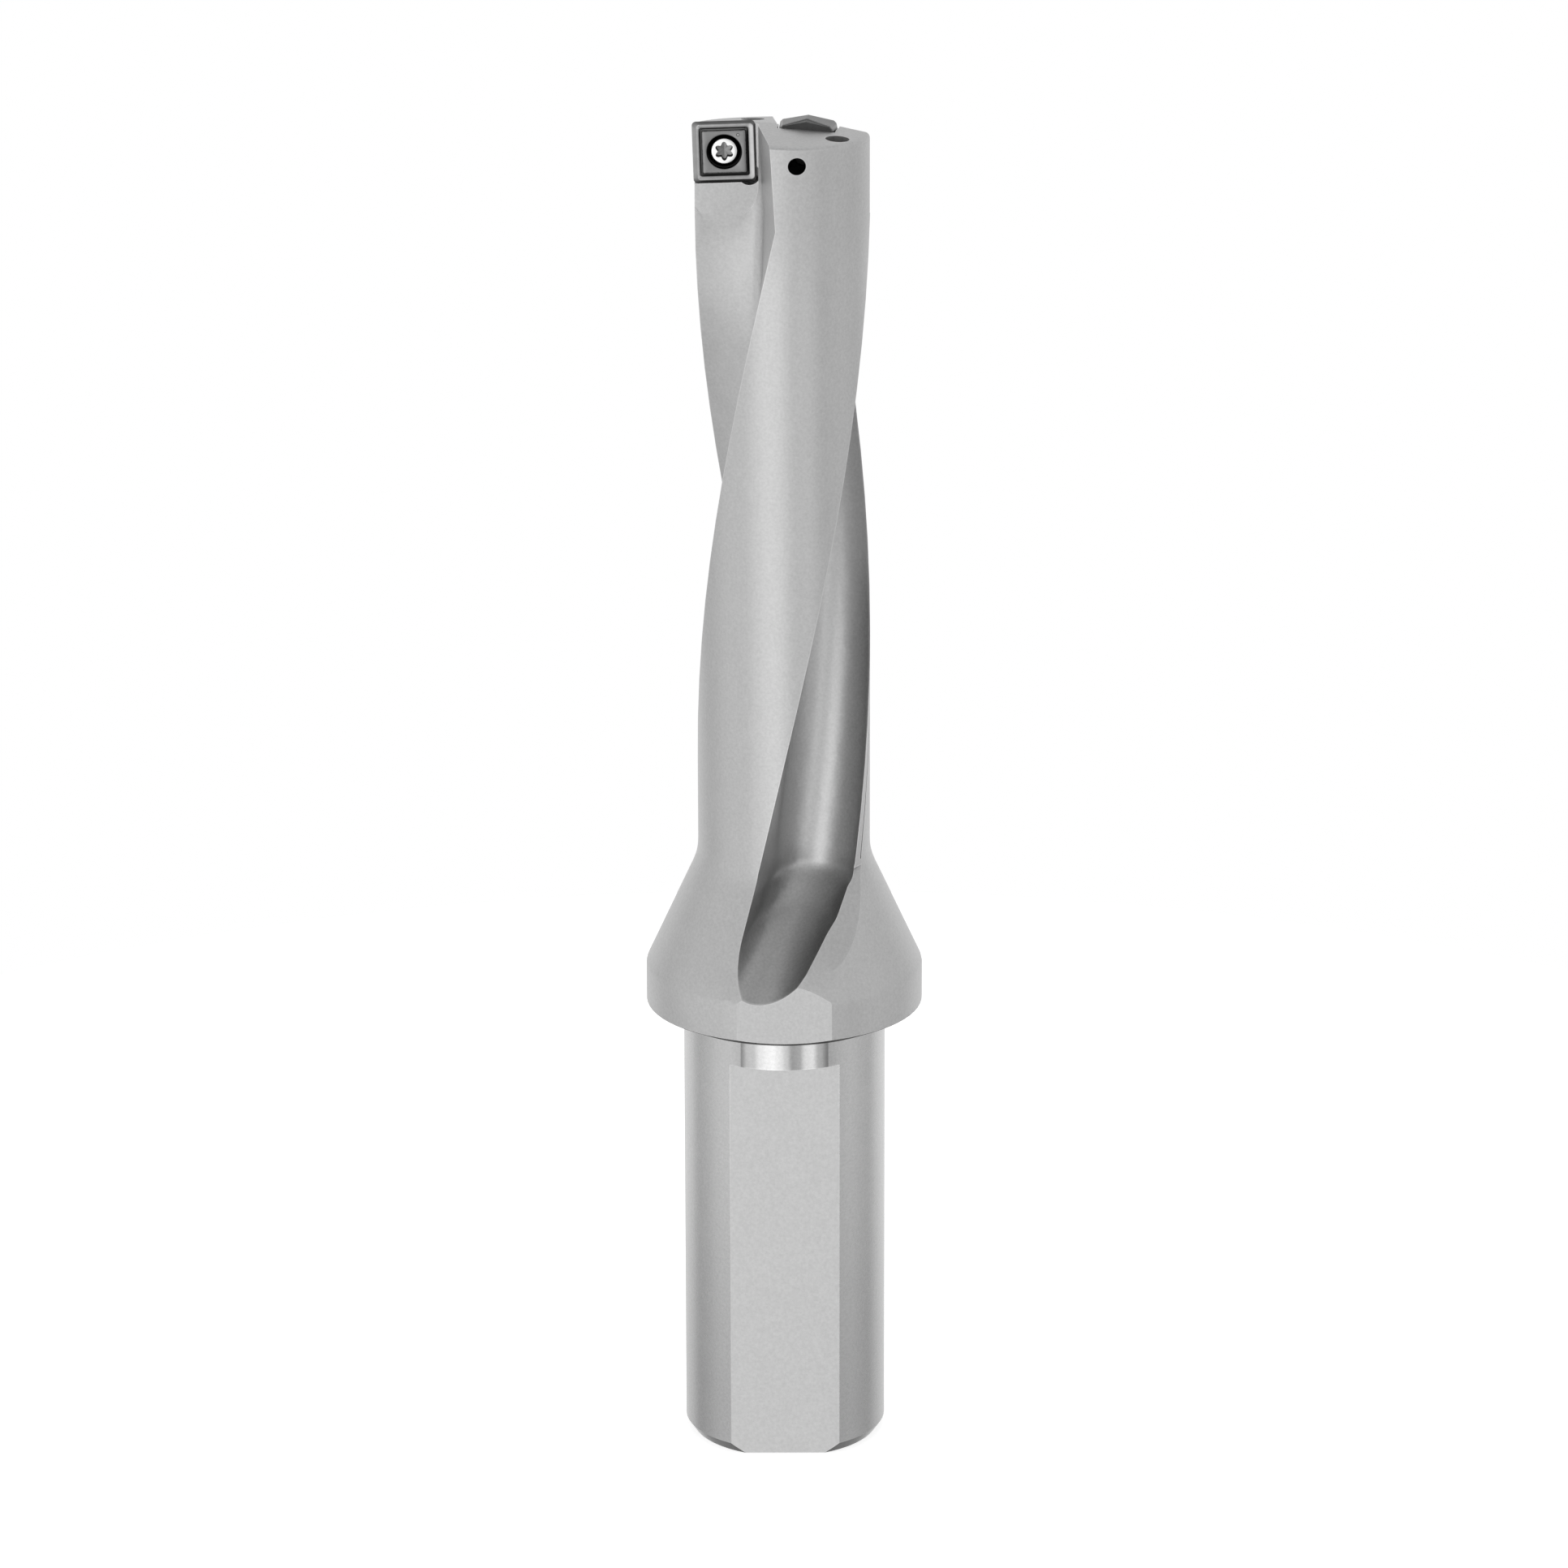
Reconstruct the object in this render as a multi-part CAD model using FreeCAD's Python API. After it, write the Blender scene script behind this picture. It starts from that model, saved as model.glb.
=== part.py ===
import FreeCAD, Part
import math
import os

Vector = FreeCAD.Vector

# All sizes are in millimetres and degrees.
# The origin is the centre of the shank's end face, +Z points to the tip, and -Y is the front.
# An azimuth is measured about +Z from the front (-Y) towards the right (+X).
# A rise is measured upwards from the flange's underside, which stops the drill in its holder.

# Shank
shankDiameter = 25.0
shankLength = 56.0
shankEndChamfer = 0.9
shankEndChamferHeight = 1.3
shankFlatToBack = 23.0
shankNeckLength = 4.0

# Flange and cone
flangeDiameter = 34.2
flangeUndersideDiameter = 29.0
flangeChamferHeight = 1.26
flangeHeight = 6.1
flangeEdgeRounding = 1.2
flangeFlatDepth = 1.02
coneHeight = 14.25
coneTopRounding = 8.0

# Fluted body and head
bodyDiameter = 21.2
bodyLength = 112.5
tipEdgeRounding = 0.6
tipEdgeOverlap = 0.03
headStraightLength = 10.5
fluteLead = 291.5
fluteBottomRise = 21.0
tipFaceFall = 3.0
tipClearanceStart = 1.1
tipClearanceAngle = 9.3

# Outer flute, a notch with one wall on the rake plane
outerHeelOffset = 2.38
outerHeelLean = 8.0
outerNotchDrift = 0.06
outerCornerRadius = 1.6
outerRunoutAzimuth = -45.0
outerRunoutSlope = 1.1

# Inner flute, a round-bottomed channel
innerFluteRadius = 5.0
innerFluteCentreInset = 6.37
innerFluteWallInset = 0.148
innerFluteLean = 9.5
innerEdgeChamfer = 0.4

# Notch of the head for the inner insert
innerNotchOffset = 0.65
innerNotchLean = 3.0
innerNotchRakeY = 0.55
innerShoulderX = 7.0
innerShoulderY = 0.8
innerShoulderAngle = 35.0
innerNotchBottomSlope = 0.9

# Run-out of the inner flute: the floor leaves the flute in two ramps
rampOneRise = 18.8
rampTwoRise = 14.4
rampOneSlope = 0.89
rampTwoSlope = 1.51
rampBlend = 0.8
runoutDrift = 0.135
runoutEndRise = 1.0
runoutStep = 0.6

# Facet beside the run-out
facetAzimuth = 16.2
facetTilt = 36.5
facetRise = 14.0
facetRadius = 12.17
facetTopRise = 20.3

# Square outer insert
outerInsertSize = 7.6
outerInsertThickness = 3.18
outerInsertCorner = 0.5
outerInsertClearance = 17.0
outerInsertInset = 3.6
outerInsertCentreY = -0.1
outerInsertBelowTip = 3.25
outerInsertTurn = 1.7
outerInsertRim = 0.42
outerInsertPlateau = 5.1

# Inner insert with roof-shaped edges
innerInsertSize = 6.7
innerInsertRoofAngle = 11.2
innerInsertThickness = 2.4
innerInsertCorner = 0.35
innerInsertClearance = 7.0
innerInsertCentreX = 3.11
innerInsertCentreY = 0.43
innerInsertBelowTip = 2.84
innerInsertYaw = 7.4
innerInsertPitch = 2.2
innerInsertRim = 0.4
innerInsertPlateau = 4.3

# Both inserts
grooveDepth = 0.22
grooveFloorShare = 0.33
screwHoleDiameter = 2.8

# Pockets
pocketGap = 0.12
pocketUpperGap = 0.15
outerReliefRadius = 1.35
outerReliefInset = 0.9
innerReliefRadius = 0.8
clearingRadius = 4.3
clearingInset = 3.4
clearingBelowInsert = 4.25
clearingDepth = 0.1

# Insert screws
screwThreadDiameter = 2.5
screwHeadDiameter = 3.4
screwHeadRim = 0.45
screwHeadEdge = 0.18
screwSinkDepth = 0.35
screwSeatAngle = 30.0
screwSeatGap = 0.03
screwLength = 5.0
screwTipChamfer = 0.3
socketDiameter = 2.05
socketLobeWidth = 0.56
socketCoreDiameter = 1.42
socketLobeCount = 6
socketLobeTurn = 30.0
socketDepth = 0.7
sinkDiameter = 4.27
sinkStraightDepth = 0.5
threadGap = 0.05
tappedCoreDiameter = 2.06

# Coolant channels
coolantBoreDiameter = 8.0
coolantBoreRise = 4.0
coolantBoreChamfer = 0.8
coolantChannelDiameter = 2.4
coolantOutletDiameter = 2.9
coolantKneeGap = 0.15
coolantOutletOverlap = 1.0
coolantTurnRise = 11.0
frontChannelX = 5.35
frontChannelY = -3.3
frontOutletX = 6.6
frontOutletY = -5.4
backChannelX = -3.6
backChannelY = 6.9

# How far cutting tools reach past the surface that they cut, and how near two sizes count as equal
reach = 12.0
nearness = 0.01

shankRadius = shankDiameter / 2
flangeRadius = flangeDiameter / 2
bodyRadius = bodyDiameter / 2
outsideRadius = flangeRadius + reach
shankFlatY = shankRadius - shankFlatToBack
shankFlatLength = shankLength - shankNeckLength
coneBottomHeight = shankLength + flangeHeight
coneTopHeight = coneBottomHeight + coneHeight
fluteBottomHeight = shankLength + fluteBottomRise
runoutEndHeight = shankLength + runoutEndRise
rampOneHeight = shankLength + rampOneRise
rampTwoHeight = shankLength + rampTwoRise
facetHeight = shankLength + facetRise
facetTopHeight = shankLength + facetTopRise
bodyTipHeight = shankLength + bodyLength
straightHeight = bodyTipHeight - headStraightLength
outerInsertCentreX = outerInsertInset - bodyRadius
outerInsertCentreZ = bodyTipHeight - outerInsertBelowTip
innerInsertCentreZ = bodyTipHeight - innerInsertBelowTip
clearingCentreX = clearingInset - bodyRadius
clearingCentreZ = outerInsertCentreZ - clearingBelowInsert
coolantBoreDepth = shankLength + coolantBoreRise
coolantTurnHeight = shankLength + coolantTurnRise
topLimit = bodyTipHeight + reach


def turnAt(height):
    """Degrees that the flutes have turned at a height, measured from the straight head."""
    return 360.0 * (height - straightHeight) / fluteLead


def polar(radius, azimuth, height=0.0):
    angle = math.radians(azimuth)
    return Vector(radius * math.sin(angle), -radius * math.cos(angle), height)


def azimuthOf(x, y):
    return math.degrees(math.atan2(x, -y))


def turned(shape, angle):
    copy = shape.copy()
    copy.rotate(Vector(0, 0, 0), Vector(0, 0, 1), angle)
    return copy


def lifted(shape, height):
    copy = shape.copy()
    copy.translate(Vector(0, 0, height))
    return copy


def prism(wire, depth):
    return Part.Face(wire).extrude(Vector(0, 0, depth))


def cylinder(radius, start, direction, length):
    return Part.makeCylinder(radius, length, start, direction)


def ringEdges(shape, radius, height):
    """Full circular edges of a turned shape at one radius and height."""
    found = []
    for edge in shape.Edges:
        box = edge.BoundBox
        wide = abs(box.XLength / 2 - radius) < nearness
        if wide and abs(box.ZMin - height) < nearness and abs(box.ZMax - height) < nearness:
            found.append(edge)
    return found


# Blank: shank, flange, cone and body turned in one piece
def turnedBlank():
    undersideRadius = flangeUndersideDiameter / 2
    profile = [
        Vector(0, 0, 0),
        Vector(shankRadius - shankEndChamfer, 0, 0),
        Vector(shankRadius, 0, shankEndChamferHeight),
        Vector(shankRadius, 0, shankFlatLength),
        Vector(shankRadius, 0, shankLength),
        Vector(undersideRadius, 0, shankLength),
        Vector(flangeRadius, 0, shankLength + flangeChamferHeight),
        Vector(flangeRadius, 0, coneBottomHeight),
        Vector(bodyRadius, 0, coneTopHeight),
        Vector(bodyRadius, 0, topLimit),
        Vector(0, 0, topLimit),
        Vector(0, 0, 0),
    ]
    blank = Part.Face(Part.makePolygon(profile)).revolve(Vector(0, 0, 0), Vector(0, 0, 1), 360)
    blank = blank.makeFillet(coneTopRounding, ringEdges(blank, bodyRadius, coneTopHeight))
    return blank.makeFillet(flangeEdgeRounding, ringEdges(blank, flangeRadius, coneBottomHeight))


def frontSlab(faceY, bottom, top):
    return Part.makeBox(2 * outsideRadius, reach, top - bottom, Vector(-outsideRadius, faceY - reach, bottom))


def shankFlatTool():
    return frontSlab(shankFlatY, -reach, shankFlatLength)


def flangeFlatTool():
    return frontSlab(flangeFlatDepth - flangeRadius, shankLength, coneTopHeight)


# Flute sections, drawn flat at height zero as they lie in the straight head
def outerFluteWire():
    """Notch between the rake plane y = 0 and a leaning heel wall, with a rounded inner corner."""
    lean = math.radians(outerHeelLean)
    corner = Vector(-outerHeelOffset, 0, 0)
    alongHeel = Vector(math.sin(lean), -math.cos(lean), 0)
    opening = math.radians(90) + lean
    tangent = outerCornerRadius / math.tan(opening / 2)
    rakeEnd = corner + Vector(-tangent, 0, 0)
    heelEnd = corner + alongHeel * tangent
    centre = rakeEnd + Vector(0, -outerCornerRadius, 0)
    middle = centre + (corner - centre).normalize() * outerCornerRadius
    heelFar = corner + alongHeel * outsideRadius
    rakeFar = Vector(-outsideRadius, 0, 0)
    outsideCorner = Vector(-outsideRadius, heelFar.y, 0)
    return Part.Wire([
        Part.makeLine(rakeFar, rakeEnd),
        Part.Arc(rakeEnd, middle, heelEnd).toShape(),
        Part.makeLine(heelEnd, heelFar),
        Part.makeLine(heelFar, outsideCorner),
        Part.makeLine(outsideCorner, rakeFar),
    ])


def channelWire(centre, outward, floorDepth, height):
    """Channel section: two parallel walls and a half-ellipse floor that is floorDepth behind the centre."""
    along = Vector(outward.x, outward.y, 0)
    across = Vector(-along.y, along.x, 0)
    base = Vector(centre.x, centre.y, height)
    left = base - across * innerFluteRadius
    right = base + across * innerFluteRadius
    floor = base - along * floorDepth
    if floorDepth > innerFluteRadius:
        bottom = halfEllipse(base, along, across, floorDepth)
    else:
        bottom = Part.Arc(left, floor, right).toShape()
    return Part.Wire([
        bottom,
        Part.makeLine(right, right + along * outsideRadius),
        Part.makeLine(right + along * outsideRadius, left + along * outsideRadius),
        Part.makeLine(left + along * outsideRadius, left),
    ])


def halfEllipse(base, along, across, floorDepth):
    """Half of a deep ellipse from the left wall over the floor to the right wall."""
    ellipse = Part.Ellipse(base - along * floorDepth, base - across * innerFluteRadius, base)
    start = ellipse.parameter(base - across * innerFluteRadius)
    end = ellipse.parameter(base + across * innerFluteRadius)
    if end < start:
        end += 2 * math.pi
    arc = ellipse.toShape(start, end)
    middle = ellipse.value((start + end) / 2)
    if (middle - base).dot(along) > 0:
        arc = ellipse.toShape(end - 2 * math.pi, start)
    return arc


def innerFluteOutward():
    return polar(1.0, 90.0 - innerFluteLean)


def innerFluteAcross():
    outward = innerFluteOutward()
    return Vector(-outward.y, outward.x, 0)


def innerFluteCentre():
    """Centre of the channel's floor, from how far its middle and its back wall lie inside the body."""
    out = bodyRadius - innerFluteCentreInset
    across = bodyRadius - innerFluteWallInset - innerFluteRadius
    return innerFluteOutward() * out + innerFluteAcross() * across


def innerFluteWire():
    return channelWire(innerFluteCentre(), innerFluteOutward(), innerFluteRadius, 0.0)


def innerEdgeChamferWire():
    """Triangle that breaks the edge between the channel's back wall and the body's outside."""
    outward = innerFluteOutward()
    across = innerFluteAcross()
    wall = bodyRadius - innerFluteWallInset
    corner = across * wall + outward * math.sqrt(bodyRadius ** 2 - wall ** 2)
    inside = corner - outward * innerEdgeChamfer
    beside = corner + across * innerEdgeChamfer
    slope = (beside - inside).normalize() * innerEdgeChamfer
    first = inside - slope
    second = beside + slope
    return Part.makePolygon([first, second, corner + (outward + across) * innerEdgeChamfer, first])


def helicalSweep(wire, bottom, top):
    """Sweep a flat section up the axis while it turns with the flutes."""
    start = lifted(turned(wire, turnAt(bottom)), bottom)
    spine = Part.Wire([Part.makeLine(Vector(0, 0, bottom), Vector(0, 0, top))])
    guide = lifted(Part.makeHelix(fluteLead, top - bottom, bodyRadius), bottom)
    sweep = Part.BRepOffsetAPI.MakePipeShell(spine)
    sweep.setAuxiliarySpine(Part.Wire(guide.Edges), True, 0)
    sweep.add(start, False, False)
    sweep.build()
    sweep.makeSolid()
    return sweep.shape()


def bentTravel(distance):
    """Travel along a ramp: zero above its bend, the distance below it, rounded over the blend length."""
    if distance <= -rampBlend:
        return 0.0
    if distance >= rampBlend:
        return distance
    return (distance + rampBlend) ** 2 / (4 * rampBlend)


def bentSlope(distance):
    """Share of the ramp's slope that is reached at a distance below its bend."""
    return min(1.0, max(0.0, (distance + rampBlend) / (2 * rampBlend)))


def runoutWire(height):
    """Section of the run-out: the floor moves outwards by the two ramps and the channel drifts sideways."""
    turn = turnAt(fluteBottomHeight)
    centre = turned(Part.Vertex(innerFluteCentre()), turn).Point
    outward = turned(Part.Vertex(innerFluteOutward()), turn).Point
    sideways = Vector(outward.y, -outward.x, 0)
    secondSlope = rampTwoSlope - rampOneSlope
    moved = rampOneSlope * bentTravel(rampOneHeight - height)
    moved += secondSlope * bentTravel(rampTwoHeight - height)
    slope = rampOneSlope * bentSlope(rampOneHeight - height)
    slope += secondSlope * bentSlope(rampTwoHeight - height)
    floorDepth = innerFluteRadius * math.sqrt(1 + slope * slope)
    shift = moved + floorDepth - innerFluteRadius
    drift = runoutDrift * (fluteBottomHeight - height)
    place = centre + outward * shift + sideways * drift
    return channelWire(place, outward, floorDepth, height)


def innerRunoutTool():
    count = round((fluteBottomHeight - runoutEndHeight) / runoutStep)
    wires = [runoutWire(fluteBottomHeight - runoutStep * step) for step in range(count + 1)]
    return Part.makeLoft(wires, True, False)


def facetTool():
    """Space above the slanted facet to the right of the run-out, up to where the facet ends."""
    tilt = math.radians(facetTilt)
    normal = polar(math.cos(tilt), facetAzimuth, math.sin(tilt))
    slab = Part.makeBox(2 * reach, 2 * reach, reach, Vector(-reach, -reach, 0))
    middle = polar(facetRadius, facetAzimuth, facetHeight)
    slab.Placement = FreeCAD.Placement(middle, FreeCAD.Rotation(Vector(0, 0, 1), normal))
    limit = Part.makeBox(outsideRadius, outsideRadius, facetTopHeight, Vector(0, -outsideRadius, 0))
    return slab.common(limit)


def outerRunoutTool():
    """The outer flute's section carried down and outwards along its own middle line."""
    start = lifted(turned(outerFluteWire(), turnAt(fluteBottomHeight)), fluteBottomHeight)
    depth = fluteBottomHeight - runoutEndHeight
    middle = polar(1.0, turnAt(fluteBottomHeight) + outerRunoutAzimuth)
    path = middle * (depth * outerRunoutSlope) + Vector(0, 0, -depth)
    return Part.Face(start).extrude(path)


def outerNotchTool():
    """The outer flute's section carried straight up through the head, drifting a little to the left."""
    depth = topLimit - straightHeight
    path = Vector(-outerNotchDrift * depth, 0, depth)
    return Part.Face(lifted(outerFluteWire(), straightHeight)).extrude(path)


def innerNotchWire():
    """Notch of the head: a wall beside the web, the rake wall and a shoulder that falls to the outside."""
    rise = 2 * outsideRadius
    web = Vector(-innerNotchOffset, innerNotchRakeY, 0)
    webFar = web + Vector(-rise * math.tan(math.radians(innerNotchLean)), rise, 0)
    shoulder = Vector(innerShoulderX, innerShoulderY, 0)
    shoulderFar = shoulder + Vector(rise, -rise * math.tan(math.radians(innerShoulderAngle)), 0)
    corners = [web, shoulder, shoulderFar, Vector(shoulderFar.x, webFar.y, 0), webFar, web]
    return Part.makePolygon(corners)


def innerNotchTool():
    """Notch of the head, whose bottom falls towards the back."""
    notch = lifted(prism(innerNotchWire(), topLimit - coneTopHeight), coneTopHeight)
    back = 2 * outsideRadius
    corners = [
        Vector(-outsideRadius, innerNotchRakeY, topLimit),
        Vector(-outsideRadius, innerNotchRakeY, straightHeight),
        Vector(-outsideRadius, back, straightHeight - innerNotchBottomSlope * (back - innerNotchRakeY)),
        Vector(-outsideRadius, back, topLimit),
        Vector(-outsideRadius, innerNotchRakeY, topLimit),
    ]
    side = Part.Face(Part.makePolygon(corners)).extrude(Vector(2 * outsideRadius, 0, 0))
    front = Part.makeBox(2 * outsideRadius, 2 * outsideRadius, topLimit - straightHeight,
                         Vector(-outsideRadius, innerNotchRakeY - 2 * outsideRadius, straightHeight))
    return notch.common(side.fuse(front))


def fluteTools():
    return [
        helicalSweep(outerFluteWire(), fluteBottomHeight, straightHeight),
        outerNotchTool(),
        outerRunoutTool(),
        helicalSweep(innerFluteWire(), fluteBottomHeight, straightHeight),
        helicalSweep(innerEdgeChamferWire(), fluteBottomHeight, straightHeight),
        innerNotchTool(),
        innerRunoutTool(),
        facetTool(),
    ]


def tipFaceTool():
    """Everything above the head's top face, with a rounded rim; the face falls a little to the right."""
    rim = bodyRadius + tipEdgeOverlap
    centre = Vector(rim - tipEdgeRounding, 0, -tipEdgeRounding)
    rimTop = centre + Vector(0, 0, tipEdgeRounding)
    rimSide = centre + Vector(tipEdgeRounding, 0, 0)
    rimMiddle = centre + Vector(1, 0, 1).normalize() * tipEdgeRounding
    outside = Vector(outsideRadius, 0, rimSide.z)
    outline = Part.Wire([
        Part.makeLine(Vector(0, 0, 0), rimTop),
        Part.Arc(rimTop, rimMiddle, rimSide).toShape(),
        Part.makeLine(rimSide, outside),
        Part.makeLine(outside, Vector(outsideRadius, 0, topLimit)),
        Part.makeLine(Vector(outsideRadius, 0, topLimit), Vector(0, 0, topLimit)),
        Part.makeLine(Vector(0, 0, topLimit), Vector(0, 0, 0)),
    ])
    lid = Part.Face(outline).revolve(Vector(0, 0, 0), Vector(0, 0, 1), 360)
    lid.rotate(Vector(0, 0, 0), Vector(0, 1, 0), tipFaceFall)
    return lifted(lid, bodyTipHeight)


def tipClearanceTool():
    """Clearance behind the outer insert: the left half of the top falls away to the back."""
    block = Part.makeBox(outsideRadius, 2 * outsideRadius, reach, Vector(-outsideRadius, 0, 0))
    block.rotate(Vector(0, 0, 0), Vector(1, 0, 0), -tipClearanceAngle)
    block.translate(Vector(0, tipClearanceStart, bodyTipHeight))
    return block


# Frames of the two inserts: local X is the width, local Y points up and local Z leaves the rake face
def outerFrame():
    place = Vector(outerInsertCentreX, outerInsertCentreY, outerInsertCentreZ)
    upright = FreeCAD.Rotation(Vector(1, 0, 0), 90)
    turn = FreeCAD.Rotation(Vector(0, 0, 1), outerInsertTurn)
    return FreeCAD.Placement(place, upright.multiply(turn))


def innerFrame():
    place = Vector(innerInsertCentreX, innerInsertCentreY, innerInsertCentreZ)
    upright = FreeCAD.Rotation(Vector(1, 0, 0), 90)
    facing = FreeCAD.Rotation(Vector(0, 0, 1), 180 - innerInsertYaw)
    pitch = FreeCAD.Rotation(Vector(1, 0, 0), innerInsertPitch)
    return FreeCAD.Placement(place, facing.multiply(upright).multiply(pitch))


def placed(shape, frame):
    copy = shape.copy()
    copy.Placement = frame.multiply(copy.Placement)
    return copy


def frustum(upper, lower, depth):
    """Solid between an upper outline at zero and a lower outline at a depth below it."""
    top = Part.makePolygon([Vector(x, y, 0) for x, y in upper + upper[:1]])
    bottom = Part.makePolygon([Vector(x, y, -depth) for x, y in lower + lower[:1]])
    return Part.makeLoft([bottom, top], True, True)


def square(half):
    return [(-half, -half), (half, -half), (half, half), (-half, half)]


def roofSquare(half, rise):
    """Square with the middle of each side raised, listed round from the lower left corner."""
    peak = half + rise
    lower = [(-half, -half), (0, -peak), (half, -half), (peak, 0)]
    upper = [(half, half), (0, peak), (-half, half), (-peak, 0)]
    return lower + upper


def cornerEdges(shape, nearest):
    """Slanted edges that run down the four corners of an insert, farther out than the nearest allowed."""
    edges = []
    for edge in shape.Edges:
        middle = edge.CenterOfMass
        if abs(abs(middle.x) - abs(middle.y)) < nearness and abs(middle.x) > nearest:
            edges.append(edge)
    return edges


def chipGroove(size, rim, plateau):
    """Ring groove of the rake face, sloping down from the rim to the plateau's wall."""
    outerHalf = size / 2 - rim
    innerHalf = plateau / 2
    slopeEnd = innerHalf + (outerHalf - innerHalf) * grooveFloorShare
    tool = frustum(square(outerHalf), square(slopeEnd), grooveDepth)
    island = Part.makeBox(plateau, plateau, grooveDepth, Vector(-innerHalf, -innerHalf, -grooveDepth))
    return tool.cut(island)


def screwSeat(gap):
    """Turned space of the countersink: a straight mouth, a cone and the screw hole."""
    holeRadius = screwHoleDiameter / 2
    headRadius = screwHeadDiameter / 2 + gap
    coneTop = -screwSinkDepth - screwHeadRim
    coneDepth = (headRadius - holeRadius) / math.tan(math.radians(screwSeatAngle))
    profile = [
        Vector(0, 0, reach),
        Vector(sinkDiameter / 2, 0, reach),
        Vector(sinkDiameter / 2, 0, -sinkStraightDepth),
        Vector(headRadius, 0, coneTop),
        Vector(holeRadius, 0, coneTop - coneDepth),
        Vector(holeRadius, 0, -reach),
        Vector(0, 0, -reach),
        Vector(0, 0, reach),
    ]
    return Part.Face(Part.makePolygon(profile)).revolve(Vector(0, 0, 0), Vector(0, 0, 1), 360)


def finishedInsert(blank, size, rim, plateau):
    grooved = blank.cut(chipGroove(size, rim, plateau))
    return grooved.cut(screwSeat(screwSeatGap))


def outerInsert():
    half = outerInsertSize / 2
    taper = outerInsertThickness * math.tan(math.radians(outerInsertClearance))
    blank = frustum(square(half), square(half - taper), outerInsertThickness)
    blank = blank.makeFillet(outerInsertCorner, cornerEdges(blank, half - 2 * taper))
    return finishedInsert(blank, outerInsertSize, outerInsertRim, outerInsertPlateau)


def innerInsertRise():
    return innerInsertSize / 2 * math.tan(math.radians(innerInsertRoofAngle))


def innerInsertBlank():
    half = innerInsertSize / 2
    taper = innerInsertThickness * math.tan(math.radians(innerInsertClearance))
    rise = innerInsertRise()
    blank = frustum(roofSquare(half, rise), roofSquare(half - taper, rise), innerInsertThickness)
    return blank.makeFillet(innerInsertCorner, cornerEdges(blank, half - 2 * taper))


def innerInsert():
    return finishedInsert(innerInsertBlank(), innerInsertSize, innerInsertRim, innerInsertPlateau)


# Insert screw with a six-lobed socket, its head's top sunk below the rake face
def insertScrew():
    headRadius = screwHeadDiameter / 2
    threadRadius = screwThreadDiameter / 2
    top = -screwSinkDepth
    coneTop = top - screwHeadRim
    coneDepth = (headRadius - threadRadius) / math.tan(math.radians(screwSeatAngle))
    tip = top - screwLength
    profile = [
        Vector(0, 0, top),
        Vector(headRadius - screwHeadEdge, 0, top),
        Vector(headRadius, 0, top - screwHeadEdge),
        Vector(headRadius, 0, coneTop),
        Vector(threadRadius, 0, coneTop - coneDepth),
        Vector(threadRadius, 0, tip + screwTipChamfer),
        Vector(threadRadius - screwTipChamfer, 0, tip),
        Vector(0, 0, tip),
        Vector(0, 0, top),
    ]
    screw = Part.Face(Part.makePolygon(profile)).revolve(Vector(0, 0, 0), Vector(0, 0, 1), 360)
    return screw.cut(socketTool(top))


def socketTool(top):
    """Star socket: three crossed bars with rounded ends round a core."""
    start = Vector(0, 0, top - socketDepth)
    tool = cylinder(socketCoreDiameter / 2, start, Vector(0, 0, 1), reach)
    lobeRadius = socketLobeWidth / 2
    lobeCentre = socketDiameter / 2 - lobeRadius
    for index in range(socketLobeCount):
        angle = math.radians(socketLobeTurn + 360 * index / socketLobeCount)
        place = start + Vector(lobeCentre * math.cos(angle), lobeCentre * math.sin(angle), 0)
        tool = tool.fuse(cylinder(lobeRadius, place, Vector(0, 0, 1), reach))
    return tool.removeSplitter()


# Pockets, screw holes and corner reliefs in the head
def outerPocketTool():
    """Space of the outer insert, open to the outside and to the top."""
    half = outerInsertSize / 2 + pocketGap
    taper = outerInsertThickness * math.tan(math.radians(outerInsertClearance))
    upper = [(-reach, -half), (half, -half), (half, reach), (-reach, reach)]
    lower = [(-reach, taper - half), (half - taper, taper - half), (half - taper, reach), (-reach, reach)]
    pocket = frustum(upper, lower, outerInsertThickness)
    corner = outerInsertSize / 2 - outerReliefInset
    relief = cylinder(outerReliefRadius, Vector(corner, -corner, -outerInsertThickness), Vector(0, 0, 1),
                      outerInsertThickness + clearingDepth)
    return pocket.fuse(relief)


def innerPocketTool():
    """Space of the inner insert, open to the rake side and to the top."""
    half = innerInsertSize / 2
    gapHalf = half + pocketGap
    taper = innerInsertThickness * math.tan(math.radians(innerInsertClearance))
    rise = innerInsertRise()
    front = roofSquare(gapHalf, rise)
    nest = frustum(front, roofSquare(gapHalf - taper, rise), innerInsertThickness)
    mouth = prism(Part.makePolygon([Vector(x, y, 0) for x, y in front + front[:1]]), reach)
    width = 2 * (half + pocketUpperGap)
    upper = Part.makeBox(width, reach, innerInsertThickness + reach,
                         Vector(-width / 2, half / 2, -innerInsertThickness))
    tool = nest.fuse(mouth).fuse(upper)
    for side in (-1, 1):
        place = Vector(side * (half - taper), taper - half, -innerInsertThickness)
        tool = tool.fuse(cylinder(innerReliefRadius, place, Vector(0, 0, 1), innerInsertThickness))
    return tool


def screwHoleTool(thickness):
    """Tapped hole: room for the screw, then the narrower core through to the outside."""
    threadRadius = screwThreadDiameter / 2 + threadGap
    depth = screwSinkDepth + screwLength + threadGap
    wide = cylinder(threadRadius, Vector(0, 0, -depth), Vector(0, 0, 1), depth - thickness)
    core = cylinder(tappedCoreDiameter / 2, Vector(0, 0, -2 * reach), Vector(0, 0, 1), 2 * reach - thickness)
    return wide.fuse(core)


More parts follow.
